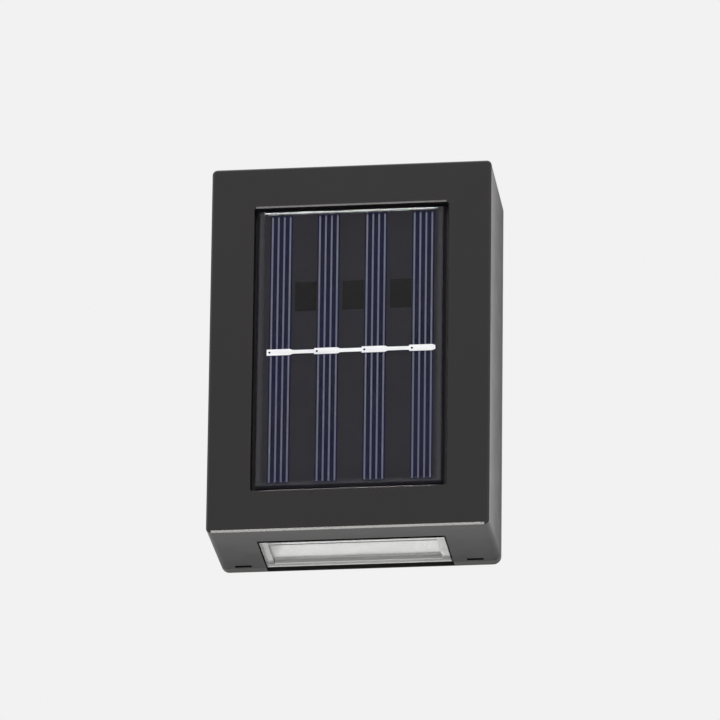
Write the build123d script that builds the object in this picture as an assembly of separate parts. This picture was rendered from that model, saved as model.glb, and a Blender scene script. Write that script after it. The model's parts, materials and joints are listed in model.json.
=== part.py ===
from build123d import *
import os
from math import cos, pi, radians, sin, tan

# Solar light for a fence or wall, in millimetres.
# +X is to the right, +Y points to the wall and +Z is up. The origin is the centre of the back face.

# ---- Case ----
width = 84.0
height = 116.0
depth = 35.8
draft = 0.05            # how far each side has drawn in at the back face
corner_front = 1.5      # corner radius at the front face
corner_rear = 2.5       # corner radius at the back face
front_bevel = 0.55
rear_edge = 1.5         # rounding of the back face's edge
wall = 2.4
inner_corner = 1.6
least_corner = 0.4      # smallest radius of the outlines drawn in from the inner corner
cover_depth = 4.8       # from the back face to the seam
seam_bevel = 0.25

# ---- Panel window ----
window_side_gap = 1.0   # from the panel's side to the window's edge
window_end_gap = 0.85   # from the panel's end to the window's edge
window_corner = 0.6
window_bevel = 0.4
window_wall = 1.6
ledge_width = 6.0
ledge_thickness = 1.6

# ---- Solar panel ----
panel_width = 56.2
panel_height = 88.5
panel_corner = 0.8
panel_shift = -0.15     # the panel sits this far right of the window's middle
panel_lift = 0.35       # and this far above it
panel_setback = 0.3     # from the front face to the clear cover
clear_thickness = 2.2
dome_reach = 2.4        # how far in from its edge the clear cover curves down
dome_drop = 1.4         # how far it curves down
dome_steps = 8
clear_rim = 0.9         # rim that rests on the board
layer_gap = 0.1         # air over the ribbon, under the clear cover
panel_board_thickness = 1.2
tape_thickness = 0.6
tape_inset = 0.5

# ---- Cells ----
cell_count = 4
cell_edge = 6.8         # from the panel's side to the middle of the outer cells
cell_offset = 0.35      # the group of cells sits this far right of the panel's middle
cell_width = 6.6
cell_margin = 0.5       # from a cell's end to the pocket's wall
cell_thickness = 0.25
finger_count = 4
finger_pitch = 1.77
finger_width = 0.5
finger_thickness = 0.05
ribbon_z = -1.1
ribbon_pad_length = 7.8
ribbon_pad_width = 1.95
ribbon_link_width = 1.15
ribbon_taper = 0.9      # length over which a pad narrows to the link after it
ribbon_thickness = 0.15
ribbon_dot = 0.35       # radius of the tooling hole near each pad's left end
ribbon_dot_inset = 0.8
patch_gap = 0.6         # from a patch to the cells beside it, before its offset
patch_height = 9.2
patch_thickness = 0.1
patch_z = 16.7
patch_offset = 0.4      # each patch sits this far right of the middle of its gap

# ---- Lenses ----
lens_slot_width = 56.0
lens_from_front = 9.0   # from the front face to the lens slot
lens_recess = 0.15
lens_front_gap = 1.6
lens_side_gap = 0.45
lens_rear_gap = 0.05
lens_border = 2.4
lens_step = 1.1         # how far the lens window stands in from its border
lens_skin = 1.3         # thickness of the lens window
flange_reach = 2.8      # how far the flange stands out from the lens, behind the wall
flange_thickness = 0.9

# ---- Reflectors and lamps ----
reflector_skin = 1.2
reflector_gap = 0.15    # air between the lens's flange and the reflector's
reflector_height = 7.0
reflector_mouth_inset = 2.1     # from the lens's front and sides to the reflector's mouth
reflector_roof_width = 42.0
reflector_roof_depth = 7.6
reflector_rear_gap = 0.4
lamp_count = 3
lamp_pitch = 13.0
lamp_length = 3.5
lamp_width = 2.8
lamp_thickness = 0.8
lamp_clearance = 0.4
lamp_board_length = 52.0
lamp_board_width = 10.6
lamp_board_thickness = 1.2
stake_radius = 1.0
stake_clearance = 0.1
stake_head_radius = 1.7
stake_head_height = 0.6
stake_x = 22.5

# ---- Rails that hold the lens and reflector ----
rail_thickness = 1.6
rail_side_gap = 0.25
rail_lap = 2.0
rail_gap = 0.1
rail_rear_gap = 1.0
stop_gap = 0.2

# ---- Back cover ----
plate = 2.0
lip_depth = 2.0
lip_wall = 1.2
lip_fit = 0.15
lip_clearance = 0.3
gasket_inset = 1.3      # from the outer face to the gasket's step
gasket_thickness = 0.6
gasket_play = 0.05
notch_width = 5.0
notch_length = 2.3
notch_x = 34.7
relief_depth = 1.0      # groove in the cover's edge behind each lens
relief_rim = 1.6        # left between the groove and the back face
retainer_width = 3.0
retainer_height = 4.2
retainer_x = 18.0
label_width = 40.0
label_height = 10.0
label_depth = 0.3
label_z = -43.0
label_corner = 1.0

# ---- Cover screws ----
boss_radius = 3.0
cover_boss_radius = 4.0
boss_sink = 0.3         # how far a boss runs into the walls beside it
screw_radius = 1.3
screw_length = 10.0
screw_clearance = 0.2
thread_play = 0.03
screw_head_radius = 2.3
screw_head_height = 1.7
screw_well_radius = 2.6
screw_well_depth = 3.0
pilot_spare = 1.0
cross_width = 0.6
cross_depth = 0.7
cross_share = 0.6       # of the head's diameter
crown_share = 0.35      # of the head's height

# ---- Keyholes ----
keyhole_x = 20.0
keyhole_seat_from_top = 19.0
keyhole_drop = 9.0      # from the seat down to the entry
keyhole_entry_radius = 4.25
keyhole_slot_radius = 2.25
pocket_clearance = 0.35
pocket_depth = 4.6
pocket_wall = 1.4
pocket_floor = 1.2

# ---- Main board ----
board_width = 44.0
board_height = 30.0
board_thickness = 1.6
board_corner = 1.0
board_z = -24.0
board_gap = 4.5         # from the cover's plate to the board
board_boss_radius = 2.3
board_boss_inset = 3.2
board_hole_radius = 1.1
board_screw_radius = 0.9
board_screw_length = 4.6
board_screw_head_radius = 1.8
board_screw_head_height = 1.2

# ---- Slide switch ----
switch_length = 8.6
switch_width = 4.4
switch_height = 3.3
switch_wall = 0.8
switch_floor = 1.0
switch_play = 0.1
frame_thickness = 0.3
frame_drop = 1.8
knob_length = 2.0
knob_width = 1.7
knob_sunk = 0.4         # from the back face to the knob's top
slider_foot_length = 4.8
slider_foot_height = 1.2
switch_travel = 2.0
switch_slot_margin = 0.6
switch_recess_width = 16.0
switch_recess_height = 9.0
switch_recess_depth = 0.9
switch_recess_corner = 1.5

# ---- Board components ----
chip_x, chip_z = -9.0, 5.0
chip_length = 4.9
chip_width = 3.9
chip_height = 1.5
chip_lift = 0.15
chip_leg_count = 4
chip_leg_pitch = 1.27
chip_leg_width = 0.42
chip_leg_reach = 1.0
chip_leg_thickness = 0.2
inductor_x, inductor_z = 8.0, 5.0
inductor_radius = 3.0
inductor_height = 4.6
inductor_rim = 0.8
inductor_waist = 0.7
capacitor_x, capacitor_z = 0.0, -7.0
capacitor_radius = 2.5
capacitor_height = 6.5
capacitor_groove = 0.3

# ---- Battery ----
battery_z = 6.0
battery_radius = 7.25   # over the sleeve
battery_length = 49.5
battery_nub_radius = 2.7
battery_nub_height = 1.0
sleeve_thickness = 0.15
sleeve_lap = 1.5
pad_thickness = 0.8
pad_margin = 4.0
holder_floor = 1.5
holder_wall = 1.4
holder_play = 0.35
holder_rise = 12.5
contact_thickness = 0.4
contact_width = 9.0
contact_room = 2.2      # room at the negative end for the bowed leaf
lug_drop = 3.5
lug_width = 4.0

# ---- Leads ----
lead_radius = 0.65
arc_share = 0.45
panel_lead_x = 7.0
panel_lead_drop = 3.0
panel_lead_exit = 6.5
panel_lead_turn = 12.0
panel_lead_sway = 2.5
panel_joint_x = 13.5
panel_joint_drop = 6.5
panel_joint_rise = 5.5
lamp_joint_inset = 7.5  # from the board's edge to the lamps' solder joints
lower_lead_x = 17.5
lower_lead_exit = 5.5
lower_lead_sway = 1.0
lower_lead_lean = 1.5
lower_joint_rise = 3.5
upper_lead_x = 18.5
upper_lead_exit = 8.0
upper_lead_sway = 1.4
upper_lead_lean = 1.5
upper_lead_clearance = 3.3      # from the battery to the middle of the leads in front of it
upper_lead_way = (      # shares of the way down, of the sway and of the lean
    (0.31, 0.43, 1.0),
    (0.55, 1.0, 0.0),
    (0.78, 0.57, 0.27),
)
upper_joint_shift = 0.2
upper_joint_rise = 7.0
battery_lead_exit = 4.0
battery_lead_sway = 2.0
battery_lead_lean = 0.5
battery_lead_turn = 6.5
battery_lead_fall = 16.5
battery_joint_x = 18.0
battery_joint_lift = 1.5
battery_joint_sway = 3.0
battery_joint_rise = 5.0

# ---- Places that follow from the sizes above ----
front_y = -depth
seam_y = -cover_depth
inner_x = width / 2 - wall
inner_z = height / 2 - wall
window_width = panel_width + 2 * window_side_gap
window_height = panel_height + 2 * window_end_gap
cell_pitch = (panel_width - 2 * cell_edge) / (cell_count - 1)
patch_width = cell_pitch - cell_width - 2 * patch_gap
clear_front_y = front_y + panel_setback
clear_rear_y = clear_front_y + clear_thickness
board_rear_y = clear_rear_y + panel_board_thickness
ledge_front_y = board_rear_y + tape_thickness
ledge_rear_y = ledge_front_y + ledge_thickness
boss_x = inner_x + boss_sink - boss_radius
boss_z = inner_z + boss_sink - boss_radius
plate_y = -plate

lens_front_y = front_y + lens_from_front + lens_front_gap
lens_rear_y = seam_y - lens_rear_gap
lens_half = lens_slot_width / 2 - lens_side_gap
flange_half = lens_half + flange_reach
flange_front_y = lens_front_y - flange_reach
flange_z = inner_z - flange_thickness           # inner face of the lens flange
reflector_seat_z = flange_z - reflector_gap
reflector_flange_z = reflector_seat_z - reflector_skin
reflector_rear_y = lens_rear_y - reflector_rear_gap
mouth_half = lens_half - reflector_mouth_inset
mouth_y = (lens_front_y + reflector_mouth_inset, reflector_rear_y - reflector_skin)
roof_y = sum(mouth_y) / 2
roof_inner_z = reflector_seat_z - reflector_height
roof_outer_z = roof_inner_z - reflector_skin
lamp_board_z = roof_outer_z - lamp_board_thickness

keyhole_seat_z = height / 2 - keyhole_seat_from_top
keyhole_entry_z = keyhole_seat_z - keyhole_drop

board_back_y = plate_y - board_gap
board_front_y = board_back_y - board_thickness
board_boss_x = board_width / 2 - board_boss_inset
board_boss_z = board_height / 2 - board_boss_inset

holder_back_y = plate_y - pad_thickness
can_radius = battery_radius - sleeve_thickness
battery_y = holder_back_y - holder_floor - holder_play - battery_radius
holder_half_z = battery_radius + holder_play + holder_wall
nub_tip_x = battery_length / 2 + battery_nub_height
upper_lead_y = battery_y - battery_radius - upper_lead_clearance
positive_x = nub_tip_x + contact_thickness      # holder's inner face at the positive end
negative_x = -battery_length / 2 - contact_room # holder's inner face at the negative end


# ---- Helpers ----
def facing_front(y):
    """Drawing plane across the case at depth y, with its X to the right and its Y up."""
    return Plane(origin=(0, y, 0), x_dir=(1, 0, 0), z_dir=(0, -1, 0))


def slab(outline, y):
    """Outline drawn across the case, pushed from y[0] at its front to y[1] at its rear."""
    return extrude(facing_front(y[1]) * outline, y[1] - y[0])


def block(x, y, z):
    """Box between two values along each axis."""
    spans = (x, y, z)
    centre = [(low + high) / 2 for low, high in spans]
    return Pos(*centre) * Box(*[high - low for low, high in spans])


def rod(x, z, radius, y):
    """Cylinder along the depth of the case."""
    return slab(Pos(x, z) * Circle(radius), y)


def plate_loft(outer, inner, z):
    """Ruled solid between two rectangles (half width, y span) at the heights z[0] and z[1]."""
    sections = []
    for (half, y), level in zip((outer, inner), z):
        middle = Plane.XY.offset(level) * Pos(0, sum(y) / 2)
        sections.append(middle * Rectangle(2 * half, y[1] - y[0]))
    return loft(sections, ruled=True)


def flipped(part):
    """The same piece for the other end of the case."""
    return mirror(part, about=Plane.XY)


def fused(solids):
    whole, *rest = solids
    for solid in rest:
        whole = whole + solid
    return whole


def each_corner(x, z):
    """The four places at plus and minus x and z."""
    return [(sx * x, sz * z) for sx in (-1, 1) for sz in (-1, 1)]


def both_sides(x):
    return (-x, x)


# ---- Case ----
def case_section(y, inset=0.0):
    share = (y - front_y) / depth
    smaller = 2 * (draft * share + inset)
    corner = corner_front + (corner_rear - corner_front) * share - inset
    return facing_front(y) * RectangleRounded(width - smaller, height - smaller, corner)


def case_body(y):
    return loft([case_section(y[0]), case_section(y[1])], ruled=True)


def bevelled_band(body_y, edge_y, bevel):
    """Band of the case that narrows from the full section at body_y to the face at edge_y."""
    return loft([case_section(body_y), case_section(edge_y, bevel)], ruled=True)


def inner_outline(shrink=0.0):
    """The housing's inner outline, drawn in by shrink."""
    radius = max(inner_corner - shrink, least_corner)
    return RectangleRounded(2 * (inner_x - shrink), 2 * (inner_z - shrink), radius)


def lens_slot():
    return block(
        both_sides(lens_slot_width / 2),
        (front_y + lens_from_front, seam_y + wall),
        (-height, -inner_z + wall / 2),
    )


def pry_notch(x):
    """Blind cut in the underside's rear edge, where a blade lifts the cover."""
    return block(
        (x - notch_width / 2, x + notch_width / 2),
        (seam_y - notch_length, seam_y + notch_length),
        (-height, -height / 2 + gasket_inset),
    )


def rails():
    """Channel in which the lens and reflector slide in from the rear, with a stop in front."""
    wall_x = flange_half + rail_side_gap
    roof_z = -reflector_flange_z + rail_gap
    rail_y = (flange_front_y - stop_gap - rail_thickness, seam_y - rail_rear_gap)
    solids = [
        block(
            both_sides(wall_x + rail_thickness),
            (rail_y[0], rail_y[0] + rail_thickness),
            (-inner_z - wall / 2, roof_z + rail_thickness),
        )
    ]
    for side in (-1, 1):
        upright = sorted((side * wall_x, side * (wall_x + rail_thickness)))
        roof = sorted((side * (flange_half - rail_lap), side * (wall_x + rail_thickness)))
        solids.append(block(upright, rail_y, (-inner_z - wall / 2, roof_z + rail_thickness)))
        solids.append(block(roof, rail_y, (roof_z, roof_z + rail_thickness)))
    return fused(solids)


def window_tray():
    """Sunken frame behind the window, with the ledge that the panel is taped to."""
    outside = RectangleRounded(
        window_width + 2 * window_wall, window_height + 2 * window_wall, window_corner + window_wall
    )
    return slab(outside, (front_y + wall / 2, ledge_rear_y))


def window_opening():
    opening = slab(
        RectangleRounded(window_width, window_height, window_corner), (front_y - wall, ledge_front_y)
    )
    through = slab(
        RectangleRounded(
            window_width - 2 * ledge_width, window_height - 2 * ledge_width, window_corner
        ),
        (front_y, ledge_rear_y + ledge_thickness),
    )
    bevel = loft(
        [
            facing_front(front_y - reach)
            * RectangleRounded(
                window_width + 2 * (window_bevel + reach),
                window_height + 2 * (window_bevel + reach),
                window_corner + window_bevel + reach,
            )
            for reach in (0.0, -window_bevel)
        ],
        ruled=True,
    )
    return opening + through + bevel


def front_housing():
    body_y = (front_y + front_bevel, seam_y - seam_bevel)
    shell = case_body(body_y)
    shell += bevelled_band(body_y[0], front_y, front_bevel)
    shell += bevelled_band(body_y[1], seam_y, seam_bevel)
    shell -= slab(inner_outline(), (front_y + wall, seam_y + wall))
    shell += window_tray()
    for x, z in each_corner(boss_x, boss_z):
        shell += rod(x, z, boss_radius, (front_y + wall / 2, seam_y))
    shell += rails()
    shell += flipped(rails())
    shell -= window_opening()
    for cut in [lens_slot()] + [pry_notch(x) for x in both_sides(notch_x)]:
        shell -= cut
        shell -= flipped(cut)
    pilot_y = plate_y - (screw_well_depth - plate) - screw_length - pilot_spare
    for x, z in each_corner(boss_x, boss_z):
        shell -= rod(x, z, screw_radius + thread_play, (pilot_y, seam_y + wall))
    return shell


# ---- Back cover ----
def keyhole_cut(x):
    reach = (plate_y - pocket_depth / 2, plate)
    slot = SlotCenterToCenter(keyhole_drop, 2 * keyhole_slot_radius, rotation=90)
    middle_z = (keyhole_seat_z + keyhole_entry_z) / 2
    return slab(Pos(x, middle_z) * slot, reach) + rod(x, keyhole_entry_z, keyhole_entry_radius, reach)


def pocket(x, radius, y):
    middle_z = (keyhole_seat_z + keyhole_entry_z) / 2
    return slab(Pos(x, middle_z) * SlotCenterToCenter(keyhole_drop, 2 * radius, rotation=90), y)


def retainer(x):
    """Post that stops the reflector from sliding out."""
    return block(
        (x - retainer_width / 2, x + retainer_width / 2),
        (reflector_rear_y + stop_gap, plate_y + plate / 2),
        (-reflector_flange_z - reflector_skin / 2, -reflector_flange_z + retainer_height),
    )


def switch_opening():
    slot_length = knob_length + switch_travel + 2 * switch_slot_margin
    slot_height = knob_width + 2 * switch_slot_margin
    slot = Pos(0, board_z) * Rectangle(slot_length, slot_height)
    recess = Pos(0, board_z) * RectangleRounded(
        switch_recess_width, switch_recess_height, switch_recess_corner
    )
    return slab(slot, (2 * plate_y, plate)) + slab(recess, (-switch_recess_depth, plate))


def lens_relief():
    """Groove across the cover's lower edge, behind the lens."""
    return block(
        both_sides(lens_slot_width / 2),
        (2 * seam_y, -relief_rim),
        (-height, -height / 2 + relief_depth),
    )


def gasket_step():
    outer = RectangleRounded(
        width - 2 * gasket_inset, height - 2 * gasket_inset, corner_rear - gasket_inset
    )
    return slab(outer - inner_outline(lip_fit), (seam_y - lip_depth, seam_y + gasket_thickness))


def back_cover():
    body_y = seam_y + seam_bevel
    cover = case_body((body_y, 0.0))
    rear_edges = cover.faces().sort_by(Axis.Y)[-1].edges()
    cover = fillet(rear_edges, rear_edge)
    cover += bevelled_band(body_y, seam_y, seam_bevel)
    lip = slab(inner_outline(lip_fit), (seam_y - lip_depth, seam_y))
    rail_side = flange_half + rail_side_gap + rail_thickness + lip_clearance
    for end in (-1, 1):
        at_lens = sorted((end * (reflector_flange_z - retainer_height), end * height))
        lip -= block(both_sides(rail_side), (2 * seam_y, seam_y), at_lens)
    for x, z in each_corner(boss_x, boss_z):
        lip -= rod(x, z, boss_radius + lip_clearance, (2 * seam_y, seam_y))
    cover += lip
    cover -= slab(inner_outline(lip_fit + lip_wall), (seam_y - lip_depth, plate_y))
    for x, z in each_corner(boss_x, boss_z):
        cover += rod(x, z, cover_boss_radius, (seam_y, plate_y / 2))
    for x in both_sides(retainer_x):
        cover += retainer(x)
        cover += flipped(retainer(x))
    for x in both_sides(keyhole_x):
        pocket_radius = keyhole_entry_radius + pocket_clearance
        pocket_y = (plate_y - pocket_depth, plate_y)
        casing_y = (pocket_y[0] - pocket_floor, plate_y / 2)
        cover += pocket(x, pocket_radius + pocket_wall, casing_y)
        cover -= pocket(x, pocket_radius, pocket_y)
        cover -= keyhole_cut(x)
    for x, z in each_corner(board_boss_x, board_boss_z):
        cover += rod(x, board_z + z, board_boss_radius, (board_back_y, plate_y / 2))
        cover -= rod(x, board_z + z, board_screw_radius + thread_play, (board_back_y, plate_y))
    for x, z in each_corner(boss_x, boss_z):
        cover -= rod(x, z, screw_well_radius, (-screw_well_depth, plate))
        cover -= rod(x, z, screw_radius + screw_clearance, (2 * seam_y, plate))
    cover -= lens_relief()
    cover -= flipped(lens_relief())
    cover -= gasket_step()
    cover -= switch_opening()
    label = Pos(0, label_z) * RectangleRounded(label_width, label_height, label_corner)
    cover -= slab(label, (-label_depth, plate))
    return cover


def back_gasket():
    outer_inset = gasket_inset + gasket_play
    outer = RectangleRounded(
        width - 2 * outer_inset, height - 2 * outer_inset, corner_rear - outer_inset
    )
    return slab(outer - inner_outline(lip_fit - gasket_play), (seam_y, seam_y + gasket_thickness))


def cross_screw(x, z, radius, head_radius, head_height, seat_y, length, towards_front):
    """Pan head screw along the depth, with its head's underside at seat_y."""
    sign = -1 if towards_front else 1
    shank = rod(x, z, radius, sorted((seat_y, seat_y + sign * length)))
    top_y = seat_y - sign * head_height
    head = rod(x, z, head_radius, sorted((seat_y, top_y)))
    crown = head.faces().sort_by(Axis.Y)[-1 if towards_front else 0].edges()
    head = fillet(crown, crown_share * head_height)
    drive_y = sorted((top_y, top_y + sign * cross_depth))
    bar = cross_share * 2 * head_radius
    for drive in (Rectangle(bar, cross_width), Rectangle(cross_width, bar)):
        head -= slab(Pos(x, z) * drive, drive_y)
    return shank + head


def cover_screws():
    return [
        cross_screw(
            x, z, screw_radius, screw_head_radius, screw_head_height,
            -screw_well_depth, screw_length, towards_front=True,
        )
        for x, z in each_corner(boss_x, boss_z)
    ]


# ---- Solar panel ----
def pocket_half():
    """Half width and half height of the clear cover's pocket over the cells."""
    return panel_width / 2 - clear_rim, panel_height / 2 - clear_rim


def on_panel(part):
    """Moved from the window's middle to where the panel sits."""
    return Pos(panel_shift, 0, panel_lift) * part


def dome_section(step):
    """Outline of the clear cover, from its edge at step 0 to its flat front at the last step."""
    angle = pi / 2 * (1 - step / dome_steps)
    inset = 2 * dome_reach * (1 - sin(angle))
    y = clear_front_y + dome_drop * (1 - cos(angle))
    return facing_front(y) * RectangleRounded(panel_width - inset, panel_height - inset, panel_corner)


def panel_cover():
    clear = slab(
        RectangleRounded(panel_width, panel_height, panel_corner),
        (clear_front_y + dome_drop, clear_rear_y),
    )
    clear += loft([dome_section(step) for step in range(dome_steps + 1)], ruled=True)
    half_x, half_z = pocket_half()
    stack = cell_thickness + finger_thickness + ribbon_thickness + layer_gap
    return clear - block(both_sides(half_x), (clear_rear_y - stack, clear_rear_y), both_sides(half_z))


def panel_board():
    return slab(
        RectangleRounded(panel_width, panel_height, panel_corner), (clear_rear_y, board_rear_y)
    )


def panel_tape():
    outer_width = panel_width - 2 * tape_inset
    outer_height = panel_height - 2 * tape_inset
    frame = RectangleRounded(outer_width, outer_height, panel_corner) - Rectangle(
        window_width - 2 * (ledge_width - tape_inset), window_height - 2 * (ledge_width - tape_inset)
    )
    return slab(frame, (board_rear_y, ledge_front_y))


def cell_x(index):
    return cell_offset + (index - (cell_count - 1) / 2) * cell_pitch


def cell_half_length():
    return pocket_half()[1] - cell_margin


def solar_cell(index):
    half = cell_width / 2
    x = cell_x(index)
    cell_y = (clear_rear_y - cell_thickness, clear_rear_y)
    return block((x - half, x + half), cell_y, both_sides(cell_half_length()))


def cell_fingers(index):
    rear = clear_rear_y - cell_thickness
    fingers = []
    for number in range(finger_count):
        x = cell_x(index) + (number - (finger_count - 1) / 2) * finger_pitch
        fingers.append(
            block(
                (x - finger_width / 2, x + finger_width / 2),
                (rear - finger_thickness, rear),
                both_sides(cell_half_length() - cell_margin),
            )
        )
    return fingers


def busbar_ribbon():
    rear = clear_rear_y - cell_thickness - finger_thickness
    half_pad = ribbon_pad_length / 2
    half_width, half_link = ribbon_pad_width / 2, ribbon_link_width / 2
    shoulder = half_pad - ribbon_taper
    pad = make_face(Polyline(
        (-half_pad, -half_width), (shoulder, -half_width), (half_pad, -half_link),
        (half_pad, half_link), (shoulder, half_width), (-half_pad, half_width), close=True,
    ))
    pad -= Pos(ribbon_dot_inset - half_pad, 0) * Circle(ribbon_dot)
    outline = Pos(cell_offset, 0) * Rectangle(
        cell_x(cell_count - 1) - cell_x(0) - ribbon_pad_length, ribbon_link_width
    )
    for index in range(cell_count):
        if 0 < index < cell_count - 1:
            outline -= Pos(cell_x(index), 0) * Rectangle(ribbon_pad_length, ribbon_pad_width)
        outline += Pos(cell_x(index), 0) * pad
    return slab(Pos(0, ribbon_z) * outline, (rear - ribbon_thickness, rear))


def insulation_patches():
    patches = []
    for index in range(cell_count - 1):
        x = (cell_x(index) + cell_x(index + 1)) / 2 + patch_offset
        patches.append(
            block(
                (x - patch_width / 2, x + patch_width / 2),
                (clear_rear_y - patch_thickness, clear_rear_y),
                (patch_z - patch_height / 2, patch_z + patch_height / 2),
            )
        )
    return patches


# ---- Lens, reflector and lamps, drawn for the underside ----
def lens():
    outer_z = -height / 2 + lens_recess
    body = block(both_sides(lens_half), (lens_front_y, lens_rear_y), (outer_z, -inner_z))
    flange = block(both_sides(flange_half), (flange_front_y, lens_rear_y), (-inner_z, -flange_z))
    window_x = lens_half - lens_border
    window_y = (lens_front_y + lens_border, lens_rear_y - lens_border)
    step = block(both_sides(window_x), window_y, (outer_z, outer_z + lens_step))
    hollow = block(both_sides(window_x), window_y, (outer_z + lens_step + lens_skin, -flange_z))
    return body + flange - step - hollow


def reflector():
    flange = block(
        both_sides(flange_half),
        (flange_front_y, reflector_rear_y),
        (-reflector_seat_z, -reflector_flange_z),
    )
    roof_half_depth = reflector_roof_depth / 2
    roof_span = (roof_y - roof_half_depth, roof_y + roof_half_depth)
    roof_half = reflector_roof_width / 2
    skin = reflector_skin
    outside = plate_loft(
        (mouth_half + skin, (mouth_y[0] - skin, mouth_y[1] + skin)),
        (roof_half + skin, (roof_span[0] - skin, roof_span[1] + skin)),
        (-reflector_seat_z, -roof_outer_z),
    )
    inside = plate_loft(
        (mouth_half, mouth_y), (roof_half, roof_span), (-reflector_seat_z, -roof_inner_z)
    )
    tray = flange + outside - inside
    for x in lamp_places():
        half_length = lamp_length / 2 + lamp_clearance
        half_width = lamp_width / 2 + lamp_clearance
        tray -= block(
            (x - half_length, x + half_length),
            (roof_y - half_width, roof_y + half_width),
            (-roof_inner_z - reflector_height, -roof_outer_z),
        )
    for x in both_sides(stake_x):
        root_z = -roof_outer_z - reflector_skin / 2
        tray += upright_rod(x, stake_radius, (root_z, -lamp_board_z))
        head_z = (-lamp_board_z, -lamp_board_z + stake_head_height)
        tray += upright_rod(x, stake_head_radius, head_z)
    return tray


def upright_rod(x, radius, z):
    """Vertical cylinder over the middle of the reflector's roof."""
    return Pos(x, roof_y, sum(z) / 2) * Cylinder(radius, z[1] - z[0])


def lamp_places():
    return [(number - (lamp_count - 1) / 2) * lamp_pitch for number in range(lamp_count)]


def lamp_board():
    half_width = lamp_board_width / 2
    board = block(
        both_sides(lamp_board_length / 2),
        (roof_y - half_width, roof_y + half_width),
        (-roof_outer_z, -lamp_board_z),
    )
    for x in both_sides(stake_x):
        board -= upright_rod(x, stake_radius + stake_clearance, (-roof_outer_z, -lamp_board_z))
    return board


def lamps():
    return [
        block(
            (x - lamp_length / 2, x + lamp_length / 2),
            (roof_y - lamp_width / 2, roof_y + lamp_width / 2),
            (-roof_outer_z - lamp_thickness, -roof_outer_z),
        )
        for x in lamp_places()
    ]


# ---- Main board ----
def main_board():
    outline = Pos(0, board_z) * RectangleRounded(board_width, board_height, board_corner)
    board = slab(outline, (board_front_y, board_back_y))
    for x, z in each_corner(board_boss_x, board_boss_z):
        board -= rod(x, board_z + z, board_hole_radius, (board_front_y, board_back_y))
    return board


def board_screws():
    return [
        cross_screw(
            x, board_z + z, board_screw_radius, board_screw_head_radius, board_screw_head_height,
            board_front_y, board_screw_length, towards_front=False,
        )
        for x, z in each_corner(board_boss_x, board_boss_z)
    ]


def controller_chip():
    body_rear = board_front_y - chip_lift
    z = board_z + chip_z
    half = chip_length / 2
    solids = [
        block(
            (chip_x - half, chip_x + half),
            (body_rear - chip_height, body_rear),
            (z - chip_width / 2, z + chip_width / 2),
        )
    ]
    middle = body_rear - chip_height / 2
    root = z + chip_width / 2
    knee = root + chip_leg_reach / 2
    for number in range(chip_leg_count):
        x = chip_x + (number - (chip_leg_count - 1) / 2) * chip_leg_pitch
        leg_x = (x - chip_leg_width / 2, x + chip_leg_width / 2)
        shoulder = (middle - chip_leg_thickness, middle)
        foot = (board_front_y - chip_leg_thickness, board_front_y)
        leg = (
            block(leg_x, shoulder, (root, knee + chip_leg_thickness))
            + block(leg_x, (shoulder[0], board_front_y), (knee, knee + chip_leg_thickness))
            + block(leg_x, foot, (knee, root + chip_leg_reach))
        )
        solids += [leg, mirror(leg, about=Plane.XY.offset(z))]
    return solids


def inductor():
    """Drum core: two rims and a narrower winding between them."""
    z = board_z + inductor_z
    top = board_front_y - inductor_height
    drum = rod(inductor_x, z, inductor_radius - inductor_waist, (top, board_front_y))
    drum += rod(inductor_x, z, inductor_radius, (top, top + inductor_rim))
    drum += rod(inductor_x, z, inductor_radius, (board_front_y - inductor_rim, board_front_y))
    return drum


def capacitor():
    z = board_z + capacitor_z
    top = board_front_y - capacitor_height
    can = rod(capacitor_x, z, capacitor_radius, (top, board_front_y))
    can = fillet(can.faces().sort_by(Axis.Y)[0].edges(), capacitor_groove)
    for bar in (Rectangle(2 * capacitor_radius, capacitor_groove),
                Rectangle(capacitor_groove, 2 * capacitor_radius)):
        can -= slab(Pos(capacitor_x, z) * bar, (top, top + capacitor_groove / 2))
    return can


# ---- Slide switch, on the side of the board that faces the wall ----
def switch_body():
    half_x, half_z = switch_length / 2, switch_width / 2
    top_y = board_back_y + switch_height
    body = block(
        both_sides(half_x), (board_back_y, top_y), (board_z - half_z, board_z + half_z)
    )
    inside_x, inside_z = half_x - switch_wall, half_z - switch_wall
    return body - block(
        both_sides(inside_x),
        (board_back_y + switch_floor, top_y),
        (board_z - inside_z, board_z + inside_z),
    )


def switch_frame():
    """Bent metal lid over the switch body, with the slot that the knob slides in."""
    top_y = board_back_y + switch_height
    half_x = switch_length / 2 + frame_thickness
    half_z = switch_width / 2
    lid = block(
        both_sides(half_x), (top_y, top_y + frame_thickness), (board_z - half_z, board_z + half_z)
    )
    for side in (-1, 1):
        ear = sorted((side * switch_length / 2, side * half_x))
        lid += block(ear, (top_y - frame_drop, top_y), (board_z - half_z, board_z + half_z))
    slot_x = (knob_length + switch_travel) / 2 + switch_play
    slot_z = knob_width / 2 + switch_play
    return lid - block(
        both_sides(slot_x), (top_y, top_y + frame_thickness), (board_z - slot_z, board_z + slot_z)
    )


def switch_slider():
    """Slider at the off end of its travel."""
    x = -switch_travel / 2
    foot_y = board_back_y + switch_floor + switch_play
    foot_half_z = switch_width / 2 - switch_wall - switch_play
    top_y = board_back_y + switch_height - switch_play
    foot = block(
        (x - slider_foot_length / 2, x + slider_foot_length / 2),
        (foot_y, min(foot_y + slider_foot_height, top_y)),
        (board_z - foot_half_z, board_z + foot_half_z),
    )
    knob = block(
        (x - knob_length / 2, x + knob_length / 2),
        (foot_y, -knob_sunk),
        (board_z - knob_width / 2, board_z + knob_width / 2),
    )
    return foot + knob


# ---- Battery ----
def along_x(radius, x):
    """Cylinder along the width on the battery's axis."""
    return (
        Pos(sum(x) / 2, battery_y, battery_z) * Rot(0, 90, 0) * Cylinder(radius, x[1] - x[0])
    )


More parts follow.
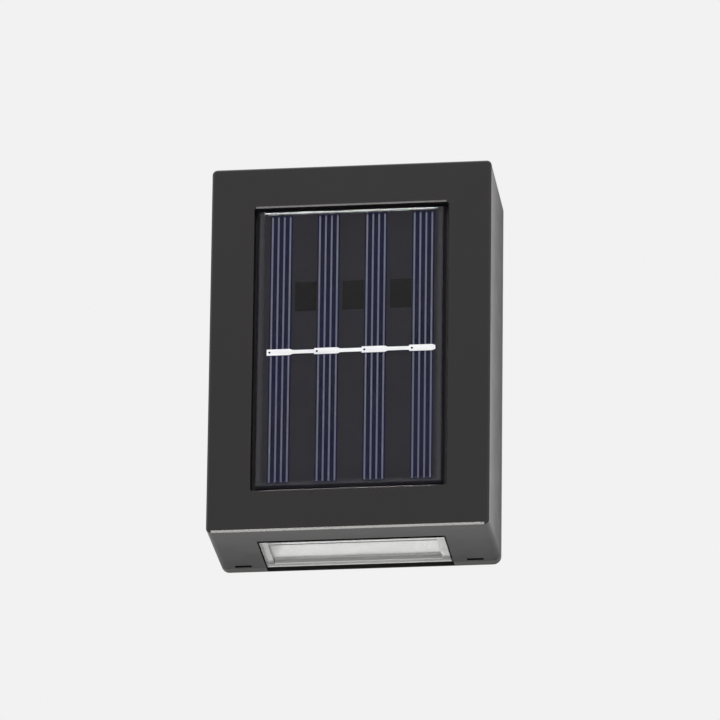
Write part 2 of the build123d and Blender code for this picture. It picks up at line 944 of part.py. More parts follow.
def battery_cell():
    half = battery_length / 2
    can = along_x(can_radius, both_sides(half))
    can += along_x(battery_nub_radius, (half, nub_tip_x))
    return can


def battery_sleeve():
    """Shrink sleeve round the can, turned in a little over both its ends."""
    half = battery_length / 2
    tube = along_x(battery_radius, both_sides(half)) - along_x(can_radius, both_sides(half))
    for x in ((half, half + sleeve_thickness), (-half - sleeve_thickness, -half)):
        tube += along_x(battery_radius, x) - along_x(can_radius - sleeve_lap, x)
    return tube


def battery_holder():
    low_x = negative_x - holder_wall
    high_x = positive_x + holder_wall
    front = holder_back_y - holder_floor - holder_rise
    z = (battery_z - holder_half_z, battery_z + holder_half_z)
    inner_half_z = battery_radius + holder_play
    tray = block((low_x, high_x), (front, holder_back_y), z)
    return tray - block(
        (negative_x, positive_x),
        (front, holder_back_y - holder_floor),
        (battery_z - inner_half_z, battery_z + inner_half_z),
    )


def battery_pad():
    low_x = negative_x - holder_wall + pad_margin
    high_x = positive_x + holder_wall - pad_margin
    half_z = holder_half_z - pad_margin / 2
    return block((low_x, high_x), (holder_back_y, plate_y), (battery_z - half_z, battery_z + half_z))


def contact_plate(x):
    """Upright strip against the inside of the holder's end wall."""
    half = contact_width / 2
    rim_y = holder_back_y - holder_floor - holder_rise
    return block(
        x, (rim_y - contact_thickness, battery_y + half), (battery_z - half, battery_z + half)
    )


def lug(inner_face, side):
    """Strip over the holder's rim and down its outer face."""
    half = lug_width / 2
    rim_y = holder_back_y - holder_floor - holder_rise
    outer_face = inner_face + side * holder_wall
    over = sorted((inner_face - side * contact_thickness, outer_face + side * contact_thickness))
    down = sorted((outer_face, outer_face + side * contact_thickness))
    z = (battery_z - half, battery_z + half)
    return block(over, (rim_y - contact_thickness, rim_y), z) + block(
        down, (rim_y - contact_thickness, rim_y + lug_drop), z
    )


def contact_positive():
    return contact_plate((positive_x - contact_thickness, positive_x)) + lug(positive_x, 1)


def contact_negative():
    """Plate with a bowed leaf that presses on the end of the can."""
    face_x = negative_x + contact_thickness
    root_x = face_x - contact_thickness / 2
    touch_x = -battery_length / 2
    half = contact_width / 2
    arcs = [
        ThreePointArc((root_x + shift, battery_y - half), (touch_x - contact_thickness + shift, battery_y),
                      (root_x + shift, battery_y + half))
        for shift in (0, contact_thickness)
    ]
    ends = [Line(arcs[0] @ end, arcs[1] @ end) for end in (0, 1)]
    outline = make_face(Curve() + arcs + ends)
    leaf = extrude(Plane.XY.offset(battery_z - lug_width / 2) * outline, lug_width)
    return contact_plate((negative_x, face_x)) + leaf + lug(negative_x, -1)


# ---- Leads ----
def lead(name, points):
    """Round wire along straight runs joined by tangent arcs."""
    radii = []
    for before, corner, after in zip(points, points[1:], points[2:]):
        run_in = Vector(*corner) - Vector(*before)
        run_out = Vector(*after) - Vector(*corner)
        half_turn = radians(run_in.get_angle(run_out)) / 2
        radii.append(arc_share * min(run_in.length, run_out.length) / tan(half_turn))
    path = FilletPolyline(*points, radius=radii)
    wire = sweep(Plane(origin=path @ 0, z_dir=path % 0) * Circle(lead_radius), path=path)
    expected = pi * lead_radius**2 * path.length
    print(name, "radii", [round(r, 1) for r in radii], "volume ratio", round(wire.volume / expected, 4))
    return wire


def panel_lead(side):
    """From the back of the panel to the lower corner of the main board."""
    x = side * panel_lead_x
    z = board_z - panel_lead_drop
    pad_x = side * panel_joint_x
    pad_z = z - panel_joint_drop
    return [
        (x, board_rear_y, z),
        (x, board_rear_y + panel_lead_exit, z),
        (x + side * panel_lead_sway, board_rear_y + panel_lead_turn, z - panel_lead_drop),
        (pad_x, board_front_y - panel_joint_rise, pad_z),
        (pad_x, board_front_y, pad_z),
    ]


def lower_lamp_lead(side):
    x = side * lower_lead_x
    pad_x = x + side * lower_lead_sway
    start_z = -lamp_board_z
    pad_z = board_z - board_height / 2 + lamp_joint_inset
    return [
        (x, roof_y, start_z),
        (x, roof_y, start_z + lower_lead_exit),
        (pad_x, roof_y + lower_lead_lean, pad_z - lower_lead_lean),
        (pad_x, board_front_y - lower_joint_rise, pad_z),
        (pad_x, board_front_y, pad_z),
    ]


def upper_lamp_lead(side):
    """From the upper lamps, past the front of the battery, to the upper edge of the main board."""
    x = side * upper_lead_x
    pad_x = x + side * upper_joint_shift
    pad_z = board_z + board_height / 2 - lamp_joint_inset
    fall = lamp_board_z - pad_z
    points = [(x, roof_y, lamp_board_z), (x, roof_y, lamp_board_z - upper_lead_exit)]
    for down, out, back in upper_lead_way:
        points.append(
            (
                x + side * out * upper_lead_sway,
                upper_lead_y + back * upper_lead_lean,
                lamp_board_z - down * fall,
            )
        )
    return points + [
        (pad_x, board_front_y - upper_joint_rise, pad_z),
        (pad_x, board_front_y, pad_z),
    ]


def battery_lead(side, lug_x):
    """From the lug on the battery holder's end wall to the side of the main board."""
    start_y = holder_back_y - holder_floor - holder_rise + lug_drop / 2
    pad_x = side * battery_joint_x
    pad_z = board_z + side * battery_joint_lift
    return [
        (lug_x, start_y, battery_z),
        (lug_x + side * battery_lead_exit, start_y, battery_z),
        (
            lug_x + side * (battery_lead_exit + battery_lead_sway),
            start_y + battery_lead_lean,
            battery_z - battery_lead_turn,
        ),
        (lug_x + side * battery_lead_sway, start_y, battery_z - battery_lead_fall),
        (
            pad_x + side * battery_joint_sway,
            board_front_y - battery_joint_rise - battery_lead_sway,
            pad_z + battery_joint_sway,
        ),
        (pad_x, board_front_y - battery_joint_rise, pad_z),
        (pad_x, board_front_y, pad_z),
    ]


# ---- Write the parts ----
os.makedirs("parts", exist_ok=True)
pieces = {
    "front_housing": front_housing(),
    "back_cover": back_cover(),
    "back_gasket": back_gasket(),
    "cover_screws": cover_screws(),
    "panel_cover": on_panel(panel_cover()),
    "panel_board": on_panel(panel_board()),
    "panel_tape": on_panel(panel_tape()),
    "busbar_ribbon": on_panel(busbar_ribbon()),
    "insulation_patches": [on_panel(patch) for patch in insulation_patches()],
    "lens_bottom": lens(),
    "lens_top": flipped(lens()),
    "reflector_bottom": reflector(),
    "reflector_top": flipped(reflector()),
    "lamp_board_bottom": lamp_board(),
    "lamp_board_top": flipped(lamp_board()),
    "lamps_bottom": lamps(),
    "lamps_top": [flipped(lamp) for lamp in lamps()],
    "main_board": main_board(),
    "board_screws": board_screws(),
    "controller_chip": controller_chip(),
    "inductor": inductor(),
    "capacitor": capacitor(),
    "switch_body": switch_body(),
    "switch_frame": switch_frame(),
    "switch_slider": switch_slider(),
    "battery_cell": battery_cell(),
    "battery_sleeve": battery_sleeve(),
    "battery_holder": battery_holder(),
    "battery_pad": battery_pad(),
    "contact_positive": contact_positive(),
    "contact_negative": contact_negative(),
}
for index in range(cell_count):
    pieces[f"solar_cell_{index + 1}"] = on_panel(solar_cell(index))
    pieces[f"cell_fingers_{index + 1}"] = [on_panel(finger) for finger in cell_fingers(index)]

lug_face = positive_x + holder_wall + contact_thickness
lug_face_negative = negative_x - holder_wall - contact_thickness
routes = {
    "panel_lead_red": panel_lead(1),
    "panel_lead_black": panel_lead(-1),
    "battery_lead_red": battery_lead(1, lug_face),
    "battery_lead_black": battery_lead(-1, lug_face_negative),
    "lower_lamp_lead_red": lower_lamp_lead(1),
    "lower_lamp_lead_black": lower_lamp_lead(-1),
    "upper_lamp_lead_red": upper_lamp_lead(1),
    "upper_lamp_lead_black": upper_lamp_lead(-1),
}
for name, points in routes.items():
    pieces[name] = lead(name, points)

for name, piece in pieces.items():
    solid = Compound(children=list(piece)) if isinstance(piece, list) else piece
    export_step(solid, f"parts/{name}.step")
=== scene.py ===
import json
from math import cos, pi, radians, sin

import bpy
from mathutils import Matrix, Vector


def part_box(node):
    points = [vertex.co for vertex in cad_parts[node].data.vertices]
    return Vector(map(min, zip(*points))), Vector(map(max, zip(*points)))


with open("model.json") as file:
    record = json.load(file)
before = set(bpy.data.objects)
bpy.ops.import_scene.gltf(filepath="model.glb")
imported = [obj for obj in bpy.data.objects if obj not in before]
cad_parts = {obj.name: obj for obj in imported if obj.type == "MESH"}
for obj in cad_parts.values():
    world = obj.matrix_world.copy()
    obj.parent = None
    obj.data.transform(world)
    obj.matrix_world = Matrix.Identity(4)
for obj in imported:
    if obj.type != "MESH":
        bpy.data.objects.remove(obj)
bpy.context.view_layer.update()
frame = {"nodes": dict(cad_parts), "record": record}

MM = 0.001

# ---- The photograph's camera ----
FRAME_PX = 720
AIM = Vector((0.0, -15.8, 0.0)) * MM    # point of the light that the camera was fitted about
AIM_AT_PX = (357.61, 369.82)            # where that point lies in the photograph
AZIMUTH = radians(7.26)                 # camera to the right of the light's middle
ELEVATION = radians(-21.74)             # camera below the light
ROLL = radians(0.72)
DISTANCE = 2.707
PX_PER_METRE = 3350.2                   # scale at AIM
SENSOR = 36.0
NEAR_CLIP, FAR_CLIP = 0.1, 100.0

# ---- Places on the light, in its own frame ----
CASE_LOW, CASE_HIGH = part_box("front_housing")
FRONT_BEVEL = 0.55 * MM
WINDOW_HALF = (29.1 * MM, 45.1 * MM)    # half width and half height of the panel's window
WINDOW_BEVEL = 0.4 * MM
PANEL_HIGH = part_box("panel_cover")[1]
DOME_REACH = 2.4 * MM                   # how far in from its edge the clear cover curves down
DOME_FADE = 1.2 * MM                    # width over which the dome's own gloss comes in
LENS_LOW, LENS_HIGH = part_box("lens_bottom")
LENS_FACE = -LENS_LOW[2]                # the lens's outer face, from the light's middle
FLANGE_REACH = 2.8 * MM                 # how far the lens's flange stands out from its body
FLANGE_THICKNESS = 0.9 * MM
PAINTED_SHADE_DEPTH = 2.1 * MM              # how far in from its face the lens's sides carry painted shade
REAR_BEVEL = 1.5 * MM
KEYHOLE_X = 20.0 * MM
KEYHOLE_Z = 34.5 * MM                   # middle of the keyhole's slot
KEYHOLE_HALF = 4.5 * MM                 # half the drop from the seat to the entry
SCUFF_REACH = 9.0 * MM                  # how far from the slot the scuffs end
HAIR = 0.05 * MM                        # width over which the edge of a mask fades

# ---- Wear, and painted highlight on the front rims ----
WEAR_AND_HIGHLIGHT_TONE = 2.0                         # how much paler rubbed plastic is; on the front rims the paleness is painted highlight too
WORN_ROUGHNESS = 0.35                   # its roughness, as a share of that beside it
# share of that paleness on the window's rim, painted highlight as well as wear
WINDOW_RIM_WEAR_AND_HIGHLIGHT = 0.4
REAR_EDGE_WEAR = 0.5
SCUFF_WEAR = 0.5
SCUFF_CUT = (0.5, 0.62)                 # levels of the noise between which a stroke comes in

# ---- Colours ----
WHITE = (1.0, 1.0, 1.0, 1.0)
WARM_WHITE = (1.0, 0.985, 0.95, 1.0)
PANEL_TINT = (0.98, 0.98, 0.985)
LENS_TINT = (0.975, 0.98, 0.975)
SLOT_PAINTED_SHADE = 0.004                      # painted shade on the lens's sides in the slot, standing in for the slot's shadow
BODY_END_PAINTED_LIGHT = 0.48                    # painted light on the rear end of its body, standing in for light bouncing inside the housing
FLANGE_END_PAINTED_LIGHT = 0.95                  # and painted light on the rear end of its flange
CLEAR_PASS = 0.97                       # share of light that a clear piece lets straight through

# ---- Noise scales, in features per metre ----
SMEARS, DRIFT, GLOSS, GRAIN = 24.0, 38.0, 160.0, 5200.0             # moulded plastic
SCUFF_STROKES = 700.0
CLEAR_TONE, CLEAR_GLOSS, DOME_WAVES, LENS_WAVES = 60.0, 240.0, 90.0, 120.0
METAL_LINES = 900.0
CELL_GRAINS, CELL_DRIFT = 900.0, 14.0
RUBBER_TONE, RUBBER_GLOSS, RUBBER_GRAIN = 300.0, 900.0, 2600.0
PHOSPHOR_TONE, PHOSPHOR_GLOSS = 1500.0, 800.0

# ---- Stage ----
BACKGROUND = (0.887, 0.887, 0.887, 1.0)
WORLD_LIGHT = 0.88                      # the world's light on surfaces, as a share of its look
FLOOR_LEVEL = -4.0
FLOOR_HALF = 30.0
FLOOR_GREY = 0.8                        # the floor's colour for the light that it throws back

# ---- Lamps ----
# An arc of lamps over the light, fading towards the front, which the panel's domed edge and
# the window's rim mirror: each lamp's middle and span, in degrees above the level ground
# before the light, and its radiance.
ARC = {
    "arc_top": (74, 18, 25.0),
    "arc_middle": (57, 14, 22.0),
    "arc_lower": (44, 12, 9.0),
}
ARC_SIDE = -0.12                        # the arc's lean towards the light's left
ARC_DISTANCE = 1.2
ARC_WIDTH = 0.095
# One lamp below the front, which the bevels and the lens mirror.
UNDER_DIRECTION = (-0.12, -0.37, -0.92)
UNDER_DISTANCE = 1.1
UNDER_SIZE = (0.26, 0.13)
UNDER_RADIANCE = 15.0


# ---- Node helpers ----
class Graph:
    """A material's node tree, with short calls for the nodes used here."""

    def __init__(self, name):
        self.material = bpy.data.materials.new(name)
        self.material.use_nodes = True
        self.tree = self.material.node_tree
        self.tree.nodes.clear()
        self.output = self.add("ShaderNodeOutputMaterial")

    def add(self, kind, inputs=None, **settings):
        """A new node, with its settings and with values or links on its inputs."""
        node = self.tree.nodes.new(kind)
        for name, value in settings.items():
            setattr(node, name, value)
        for name, value in (inputs or {}).items():
            self.put(node.inputs[name], value)
        return node

    def put(self, socket, value):
        if isinstance(value, bpy.types.NodeSocket):
            self.tree.links.new(value, socket)
        else:
            socket.default_value = value

    def place(self):
        """Position on the surface in metres, in the object's own frame."""
        return self.add("ShaderNodeTexCoord").outputs["Object"]

    def axes(self):
        node = self.add("ShaderNodeSeparateXYZ", {"Vector": self.place()})
        return [node.outputs[axis] for axis in "XYZ"]

    def noise(self, scale, detail=3.0, stretch=None):
        place = self.place()
        if stretch:
            mapping = self.add("ShaderNodeMapping", {"Vector": place, "Scale": stretch})
            place = mapping.outputs["Vector"]
        inputs = {"Vector": place, "Scale": scale, "Detail": detail}
        return self.add("ShaderNodeTexNoise", inputs).outputs["Fac"]

    def band(self, value, low, high):
        """Value mapped from 0..1 to low..high."""
        node = self.add("ShaderNodeMapRange", {"Value": value, "To Min": low, "To Max": high})
        return node.outputs["Result"]

    def ramp(self, value, start, end):
        """0 up to start, 1 from end on, and even between them."""
        inputs = {"Value": value, "From Min": start, "From Max": end}
        return self.add("ShaderNodeMapRange", inputs).outputs["Result"]

    def maths(self, operation, *values):
        node = self.add("ShaderNodeMath", operation=operation)
        for socket, value in zip(node.inputs, values):
            self.put(socket, value)
        return node.outputs["Value"]

    def times(self, first, second):
        return self.maths("MULTIPLY", first, second)

    def greatest(self, first, second):
        return self.maths("MAXIMUM", first, second)

    def size(self, value):
        """Value without its sign."""
        return self.maths("ABSOLUTE", value)

    def blend(self, factor, first, second):
        node = self.add("ShaderNodeMix", data_type="RGBA")
        self.put(node.inputs["Factor"], factor)
        self.put(node.inputs["A"], first)
        self.put(node.inputs["B"], second)
        return node.outputs["Result"]

    def tones(self, factor, colour, low, high):
        """The colour scaled by low where factor is 0, and by high where it is 1."""
        return self.blend(factor, scaled(colour, low), scaled(colour, high))

    def mix(self, factor, first, second):
        node = self.add("ShaderNodeMixShader", {"Fac": factor})
        self.put(node.inputs[1], first)
        self.put(node.inputs[2], second)
        return node.outputs["Shader"]

    def bump(self, height, depth):
        """A bump of the given depth in mm."""
        inputs = {"Height": height, "Distance": depth * MM}
        return self.add("ShaderNodeBump", inputs).outputs["Normal"]

    def principled(self, **inputs):
        names = {name.replace("_", " "): value for name, value in inputs.items()}
        return self.add("ShaderNodeBsdfPrincipled", names).outputs["BSDF"]

    def finish(self, shader):
        self.put(self.output.inputs["Surface"], shader)
        return self.material


def grey(value):
    return (value, value, value, 1.0)


def scaled(colour, factor):
    return tuple(channel * factor for channel in colour) + (1.0,)


def sent_by_camera(tree):
    """1 for the camera's own rays, straight, mirrored or through clear pieces."""
    path = tree.nodes.new("ShaderNodeLightPath")
    seen = path.outputs["Is Camera Ray"]
    for kind in ("Is Glossy Ray", "Is Transmission Ray"):
        either = tree.nodes.new("ShaderNodeMath")
        either.operation = "MAXIMUM"
        tree.links.new(seen, either.inputs[0])
        tree.links.new(path.outputs[kind], either.inputs[1])
        seen = either.outputs["Value"]
    return seen


# ---- Masks, 1 where they apply ----
def outside_frame(g, half_x, half_z, near, far):
    """0 inside a rectangle about the middle of the light and 1 outside it."""
    x, _, z = g.axes()
    beyond_x = g.maths("SUBTRACT", g.size(x), half_x)
    beyond_z = g.maths("SUBTRACT", g.size(z), half_z)
    return g.ramp(g.greatest(beyond_x, beyond_z), near, far)


def behind_face(g, depth, fade):
    """The first stretch behind the front face, down to the given depth."""
    end = CASE_LOW[1] + depth
    return g.ramp(g.axes()[1], end + fade, end)


def front_rims(g):
    """The bevels round the front face and round the panel's window, which are drawn paler as rubbed
    wear and as painted highlight.
    """
    outer = outside_frame(
        g, CASE_HIGH[0] - FRONT_BEVEL, CASE_HIGH[2] - FRONT_BEVEL, -2 * HAIR, HAIR
    )
    outer = g.times(outer, behind_face(g, FRONT_BEVEL, 3 * HAIR))
    inner = outside_frame(
        g, WINDOW_HALF[0] + WINDOW_BEVEL, WINDOW_HALF[1] + WINDOW_BEVEL, 2 * HAIR, -HAIR
    )
    inner = g.times(inner, behind_face(g, WINDOW_BEVEL, HAIR))
    return g.greatest(outer, g.times(inner, WINDOW_RIM_WEAR_AND_HIGHLIGHT))


def hanging_marks(g):
    """The rear edge that rubs on the wall, and scuffs that screws leave round the keyholes."""
    x, y, z = g.axes()
    edge = outside_frame(g, CASE_HIGH[0] - REAR_BEVEL, CASE_HIGH[2] - REAR_BEVEL, 0.0, REAR_BEVEL)
    edge = g.times(edge, g.ramp(y, -REAR_BEVEL, 0.0))
    beside = g.maths("SUBTRACT", g.size(x), KEYHOLE_X)
    above = g.maths("SUBTRACT", g.size(g.maths("SUBTRACT", z, KEYHOLE_Z)), KEYHOLE_HALF)
    above = g.greatest(above, 0.0)
    away = g.maths("SQRT", g.maths("ADD", g.times(beside, beside), g.times(above, above)))
    near = g.ramp(away, SCUFF_REACH, SCUFF_REACH / 3)
    strokes = g.ramp(g.noise(SCUFF_STROKES, 4.0, stretch=(1.0, 1.0, 0.2)), *SCUFF_CUT)
    scuffs = g.times(g.times(near, strokes), g.ramp(y, -2 * HAIR, -HAIR))
    return g.greatest(g.times(edge, REAR_EDGE_WEAR), g.times(scuffs, SCUFF_WEAR))


# ---- Materials ----
def moulded(
    name, colour, rough=(0.38, 0.5), grain=0.012, spread=0.12, gloss=0.5, sheen_tint=WHITE,
    duller=None, wear_and_highlight=None
):
    """Moulded plastic: fine spark-eroded grain, with the tone and gloss drifting a little.

    grain is the grain's depth in mm, and spread the drift of the tone to each side.
    duller, where given, scales the roughness from the front face to the back.
    The last argument, where given, draws a mask of the places drawn smooth and pale: those that
    handling has rubbed, and the front rims, whose paleness is painted highlight as well."""
    g = Graph(name)
    tone = g.tones(g.noise(DRIFT, 4.0), colour, 1 - spread, 1 + spread)
    smears = g.band(g.noise(SMEARS, 2.0), 0.94, 1.06)
    roughness = g.times(g.band(g.noise(GLOSS, 5.0), *rough), smears)
    if duller:
        depth = g.ramp(g.axes()[1], CASE_LOW[1], 0.0)
        roughness = g.times(roughness, g.band(depth, *duller))
    if wear_and_highlight:
        mask = wear_and_highlight(g)
        # Paler where the mask is: rubbed wear, and on the front rims painted highlight.
        tone = g.blend(mask, tone, scaled(colour, WEAR_AND_HIGHLIGHT_TONE))
        roughness = g.times(roughness, g.band(mask, 1.0, WORN_ROUGHNESS))
    shader = g.principled(
        Base_Color=tone,
        Roughness=roughness,
        Specular_IOR_Level=gloss,
        Specular_Tint=sheen_tint,
        Normal=g.bump(g.noise(GRAIN, 2.0), grain),
    )
    return g.finish(shader)


def see_through(g, shader, tint):
    """Lets shadow and diffuse rays straight through, so that nothing behind is darkened."""
    open_way = g.add("ShaderNodeBsdfTransparent", {"Color": scaled(tint, CLEAR_PASS)})
    for kind in ("Is Shadow Ray", "Is Diffuse Ray"):
        ray = g.add("ShaderNodeLightPath").outputs[kind]
        shader = g.mix(ray, shader, open_way.outputs["BSDF"])
    return shader


def bonded_clear():
    """Clear plate bonded to the cells, which shows their own gloss through its flat middle.

    Only its domed edge, which stands clear of them, has a skin that mirrors by itself."""
    g = Graph("panel_clear")
    domed = outside_frame(g, PANEL_HIGH[0] - DOME_REACH, PANEL_HIGH[2] - DOME_REACH, 0.0, DOME_FADE)
    outside = g.maths("SUBTRACT", 1.0, g.add("ShaderNodeNewGeometry").outputs["Backfacing"])
    shader = g.principled(
        Base_Color=g.tones(g.noise(CLEAR_TONE), PANEL_TINT, 0.98, 1.0),
        Roughness=g.band(g.noise(CLEAR_GLOSS), 0.01, 0.02),
        Transmission_Weight=1.0,
        IOR=1.01,
        Coat_Weight=g.times(domed, outside),
        Coat_Roughness=0.015,
        Coat_IOR=1.4,
        Coat_Normal=g.bump(g.noise(DOME_WAVES, 2.0), 0.0006),
    )
    return g.finish(see_through(g, shader, PANEL_TINT))


def lens_plastic():
    """Clear plastic, with painted shade on its sides in the slot and painted light on its rear end
    face.
    """
    g = Graph("lens_clear")
    x, y, z = g.axes()
    body_half = LENS_HIGH[0] - FLANGE_REACH
    body_front = LENS_LOW[1] + FLANGE_REACH
    beside = g.ramp(g.size(x), body_half - HAIR, body_half)
    before = g.ramp(y, body_front + HAIR, body_front)
    painted_shade_from = LENS_FACE - PAINTED_SHADE_DEPTH
    in_slot = g.ramp(g.size(z), painted_shade_from - 2 * HAIR, painted_shade_from)
    # Painted shade: the lens's sides in the slot are coloured near black and made opaque, standing
    # in for the shadow in the slot.
    painted_shade = g.times(g.greatest(beside, before), in_slot)
    # Painted light: the lens's rear end face is coloured pale grey and made opaque, standing in for
    # light bouncing inside the housing.
    painted_light = g.ramp(y, LENS_HIGH[1] - HAIR, LENS_HIGH[1])
    flange_from = LENS_FACE - FLANGE_THICKNESS
    in_flange = g.ramp(g.size(z), flange_from - HAIR, flange_from)
    end_painted_light = g.blend(in_flange, grey(BODY_END_PAINTED_LIGHT), grey(FLANGE_END_PAINTED_LIGHT))
    clear_colour = g.tones(g.noise(CLEAR_TONE), LENS_TINT, 0.98, 1.0)
    shader = g.principled(
        Base_Color=g.blend(painted_shade, g.blend(painted_light, clear_colour, end_painted_light), grey(SLOT_PAINTED_SHADE)),
        Roughness=g.band(g.noise(CLEAR_GLOSS), 0.16, 0.22),
        Transmission_Weight=g.maths("SUBTRACT", 1.0, g.greatest(painted_shade, painted_light)),
        IOR=1.47,
        Normal=g.bump(g.noise(LENS_WAVES, 2.0), 0.003),
    )
    return g.finish(see_through(g, shader, LENS_TINT))


def metal(name, colour, rough=(0.25, 0.4), brush=(1.0, 1.0, 1.0), depth=0.004):
    """Metal with fine drawn lines, long on the axis where brush is small, or a satin skin.

    depth is the lines' depth in mm."""
    g = Graph(name)
    lines = g.noise(METAL_LINES, 4.0, stretch=brush)
    shader = g.principled(
        Base_Color=g.tones(lines, colour, 0.86, 1.05),
        Metallic=1.0,
        Roughness=g.band(lines, *rough),
        Normal=g.bump(lines, depth),
    )
    return g.finish(shader)


def silicon():
    """Blue coated cell with faint crystal grains and a drift along its length."""
    g = Graph("cell_blue")
    grains = g.add("ShaderNodeTexVoronoi", {"Vector": g.place(), "Scale": CELL_GRAINS})
    grain = g.add("ShaderNodeSeparateColor", {"Color": grains.outputs["Color"]}).outputs["Red"]
    colour = g.blend(grain, (0.0016, 0.0022, 0.017, 1.0), (0.0024, 0.0032, 0.024, 1.0))
    along = g.noise(CELL_DRIFT, 2.0, stretch=(1.0, 1.0, 0.6))
    colour = g.blend(g.band(along, 0.0, 0.5), colour, (0.0025, 0.0042, 0.035, 1.0))
    shader = g.principled(
        Base_Color=colour, Roughness=g.band(grain, 0.14, 0.2), Specular_IOR_Level=0.25
    )
    return g.finish(shader)


def rubber(name, colour):
    """Matt rubber or foam, also the leads' soft covering."""
    g = Graph(name)
    shader = g.principled(
        Base_Color=g.tones(g.noise(RUBBER_TONE), colour, 0.8, 1.2),
        Roughness=g.band(g.noise(RUBBER_GLOSS), 0.6, 0.8),
        Normal=g.bump(g.noise(RUBBER_GRAIN), 0.02),
    )
    return g.finish(shader)


def lamp_phosphor():
    """Yellow gel over a lamp's chip."""
    g = Graph("lamp_phosphor")
    mottle = g.noise(PHOSPHOR_TONE)
    shader = g.principled(
        Base_Color=g.blend(mottle, (0.85, 0.6, 0.12, 1.0), (0.95, 0.75, 0.25, 1.0)),
        Roughness=g.band(g.noise(PHOSPHOR_GLOSS), 0.25, 0.4),
    )
    return g.finish(shader)


# The material of each slot that the record names, and of the node that differs from its slot.
by_slot = {
    "housing_plastic": moulded(
        "housing_plastic", (0.0102, 0.0088, 0.0107), rough=(0.31, 0.41), gloss=0.41,
        sheen_tint=WARM_WHITE, duller=(0.82, 1.55), wear_and_highlight=front_rims
    ),
    "seal_rubber": rubber("seal_rubber", (0.02, 0.02, 0.02)),
    "screw_steel": metal("screw_steel", (0.55, 0.55, 0.56)),
    "panel_clear": bonded_clear(),
    "panel_mask": moulded(
        "panel_mask", (0.0192, 0.0176, 0.0245), rough=(0.12, 0.2), grain=0.001, spread=0.06,
        gloss=0.25
    ),
    "foam_tape": rubber("foam_tape", (0.03, 0.03, 0.03)),
    "tinned_ribbon": metal(
        "tinned_ribbon", (0.86, 0.86, 0.865), rough=(0.3, 0.45), brush=(0.15, 1.0, 1.0)
    ),
    "patch_film": moulded(
        "patch_film", (0.0032, 0.0028, 0.0036), rough=(0.16, 0.24), grain=0.001, gloss=0.25
    ),
    "lens_clear": lens_plastic(),
    "reflector_silver": metal(
        "reflector_silver", (0.76, 0.755, 0.74), rough=(0.2, 0.26), depth=0.0004
    ),
    "lamp_board_white": moulded("lamp_board_white", (0.78, 0.78, 0.76), spread=0.04),
    "lamp_phosphor": lamp_phosphor(),
    "board_green": moulded("board_green", (0.02, 0.13, 0.05)),
    "chip_black": moulded("chip_black", (0.02, 0.02, 0.02)),
    "ferrite": moulded("ferrite", (0.05, 0.05, 0.055)),
    "capacitor_can": metal("capacitor_can", (0.7, 0.7, 0.72)),
    "switch_black": moulded("switch_black", (0.02, 0.02, 0.02)),
    "contact_metal": metal("contact_metal", (0.72, 0.71, 0.69)),
    "slider_plastic": moulded("slider_plastic", (0.72, 0.72, 0.7), spread=0.04),
    "battery_can": metal("battery_can", (0.7, 0.7, 0.71)),
    "battery_wrap": moulded("battery_wrap", (0.03, 0.2, 0.06), rough=(0.2, 0.3), grain=0.002),
    "holder_black": moulded("holder_black", (0.02, 0.02, 0.02)),
    "cell_silicon": silicon(),
    "silver_print": metal("silver_print", (0.13, 0.134, 0.182), rough=(0.4, 0.55)),
    "lead_red": rubber("lead_red", (0.4, 0.012, 0.012)),
    "lead_black": rubber("lead_black", (0.015, 0.015, 0.015)),
}
by_node = {
    "back_cover": moulded(
        "cover_plastic", (0.0105, 0.0095, 0.0092), rough=(0.41, 0.51), gloss=0.56,
        sheen_tint=WARM_WHITE, wear_and_highlight=hanging_marks
    ),
}

for part in frame["record"]["subparts"]:
    node = frame["nodes"][part["node"]]
    node.data.materials.clear()
    node.data.materials.append(by_node.get(part["node"], by_slot[part["material_slot"]]))


# ---- Camera, floor, world and lamps ----
def camera_axes():
    """The camera's right, up and back, rolled as in the photograph."""
    back = Vector((
        sin(AZIMUTH) * cos(ELEVATION), -cos(AZIMUTH) * cos(ELEVATION), sin(ELEVATION)
    ))
    right = Vector((0, 0, 1)).cross(back).normalized()
    up = back.cross(right)
    rolled_right = right * cos(ROLL) + up * sin(ROLL)
    rolled_up = up * cos(ROLL) - right * sin(ROLL)
    return rolled_right, rolled_up, back


def photo_camera():
    lens = bpy.data.cameras.new("camera")
    lens.sensor_width = SENSOR
    lens.sensor_fit = "HORIZONTAL"
    lens.lens = PX_PER_METRE * DISTANCE / FRAME_PX * SENSOR
    lens.shift_x = (FRAME_PX / 2 - AIM_AT_PX[0]) / FRAME_PX
    lens.shift_y = (AIM_AT_PX[1] - FRAME_PX / 2) / FRAME_PX
    lens.clip_start = NEAR_CLIP
    lens.clip_end = FAR_CLIP
    camera = bpy.data.objects.new("camera", lens)
    bpy.context.scene.collection.objects.link(camera)
    right, up, back = camera_axes()
    turn = Matrix((right, up, back)).transposed().to_4x4()
    camera.matrix_world = Matrix.Translation(AIM + back * DISTANCE) @ turn
    bpy.context.scene.camera = camera


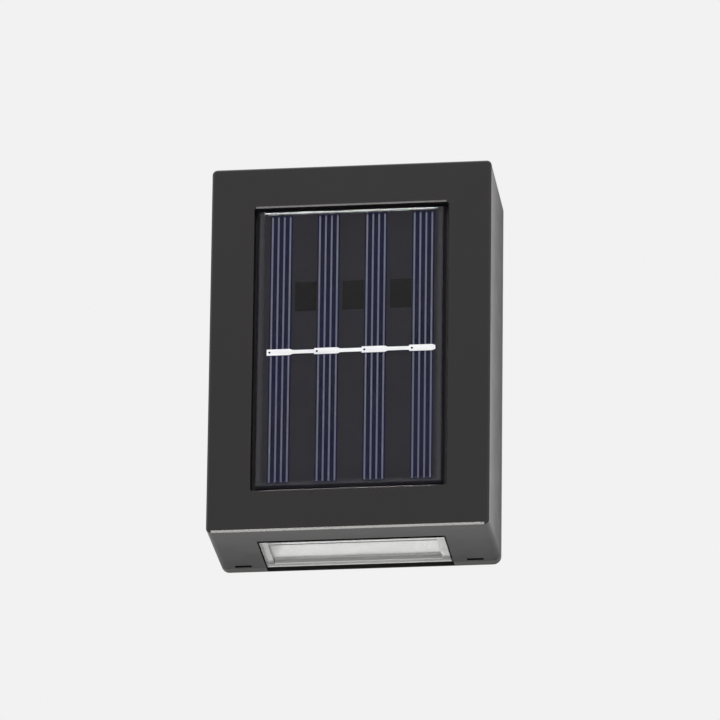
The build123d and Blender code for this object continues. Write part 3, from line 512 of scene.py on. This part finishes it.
def pale_floor():
    """Floor far below, with the background's tone to the camera and in reflections."""
    mesh = bpy.data.meshes.new("floor")
    corners = [(-1, -1), (1, -1), (1, 1), (-1, 1)]
    points = [(x * FLOOR_HALF, y * FLOOR_HALF, FLOOR_LEVEL) for x, y in corners]
    mesh.from_pydata(points, [], [(0, 1, 2, 3)])
    floor = bpy.data.objects.new("floor", mesh)
    bpy.context.scene.collection.objects.link(floor)
    g = Graph("floor_pale")
    glow = g.add("ShaderNodeEmission", {"Color": BACKGROUND, "Strength": 1.0})
    matte = g.add("ShaderNodeBsdfDiffuse", {"Color": grey(FLOOR_GREY)})
    seen = sent_by_camera(g.tree)
    mesh.materials.append(
        g.finish(g.mix(seen, matte.outputs["BSDF"], glow.outputs["Emission"]))
    )


def pale_world():
    """The background's tone all round, a little weaker as a light on matt surfaces."""
    world = bpy.data.worlds.new("studio")
    world.use_nodes = True
    tree = world.node_tree
    tree.nodes.clear()
    output = tree.nodes.new("ShaderNodeOutputWorld")
    sky = tree.nodes.new("ShaderNodeBackground")
    sky.inputs["Color"].default_value = BACKGROUND
    strength = tree.nodes.new("ShaderNodeMapRange")
    strength.inputs["To Min"].default_value = WORLD_LIGHT
    tree.links.new(sent_by_camera(tree), strength.inputs["Value"])
    tree.links.new(strength.outputs["Result"], sky.inputs["Strength"])
    tree.links.new(sky.outputs["Background"], output.inputs["Surface"])
    bpy.context.scene.world = world


def soft_lamp(name, direction, distance, size, radiance):
    """Lamp of a given radiance that faces AIM, its width (size's first value) along X."""
    data = bpy.data.lights.new(name, "AREA")
    data.shape = "RECTANGLE"
    data.size, data.size_y = size
    data.energy = radiance * pi * size[0] * size[1]
    lamp = bpy.data.objects.new(name, data)
    bpy.context.scene.collection.objects.link(lamp)
    aim = Vector(direction).normalized()
    across = Vector((1.0, 0.0, 0.0))
    across = (across - aim * aim.dot(across)).normalized()
    turn = Matrix((across, aim.cross(across), aim)).transposed().to_4x4()
    lamp.matrix_world = Matrix.Translation(AIM + aim * distance) @ turn


photo_camera()
pale_floor()
pale_world()
for name, (height, span, radiance) in ARC.items():
    direction = (ARC_SIDE, -cos(radians(height)), sin(radians(height)))
    soft_lamp(name, direction, ARC_DISTANCE, (ARC_WIDTH, ARC_DISTANCE * radians(span)), radiance)
soft_lamp("under_front", UNDER_DIRECTION, UNDER_DISTANCE, UNDER_SIZE, UNDER_RADIANCE)

bpy.context.scene.view_settings.view_transform = "Standard"
